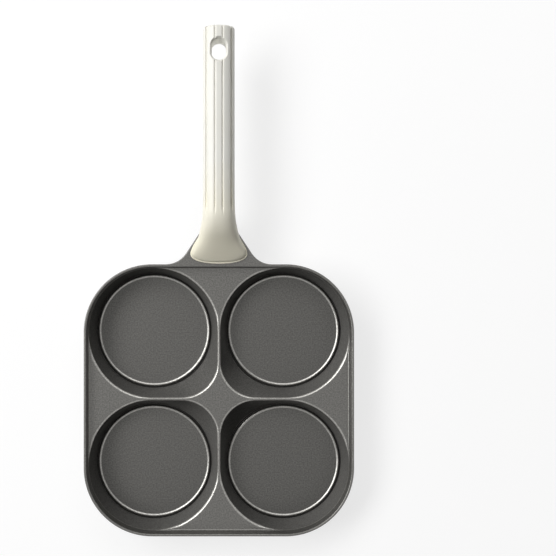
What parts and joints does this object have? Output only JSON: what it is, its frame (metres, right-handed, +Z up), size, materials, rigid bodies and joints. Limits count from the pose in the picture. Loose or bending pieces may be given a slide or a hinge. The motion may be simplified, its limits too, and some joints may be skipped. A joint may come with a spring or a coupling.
{
  "type": "egg pan",
  "caption": "Square cast frying pan with rounded corners, round egg cups sunk in a recessed deck, and a fixed fluted handle with an oval hanging hole.",
  "frame": {"origin": "on the plane that the cups stand on, under the middle of the overall box", "axes": "+Y runs from the pan along its handle to the hanging hole, +X to the right with the handle pointing away, +Z up out of the cups"},
  "size_m": [0.19, 0.354, 0.051],
  "materials": {
    "coated_casting": "dark grey satin non-stick coat with a fine speckle",
    "moulded_grip": "cream satin moulding",
    "base_steel": "turned satin steel",
    "fastener_steel": "bright steel",
    "insert_brass": "plain brass"
  },
  "bodies": {
    "root": {"pan_casting": "coated_casting", "handle_grip": "moulded_grip", "base_plate_front_left": "base_steel", "base_plate_front_right": "base_steel", "base_plate_handle_left": "base_steel", "base_plate_handle_right": "base_steel", "handle_screw_front": "fastener_steel", "handle_screw_rear": "fastener_steel", "spring_washer_front": "fastener_steel", "spring_washer_rear": "fastener_steel", "flat_washer_front": "fastener_steel", "flat_washer_rear": "fastener_steel", "threaded_insert_front": "insert_brass", "threaded_insert_rear": "insert_brass"}
  },
  "joints": []
}
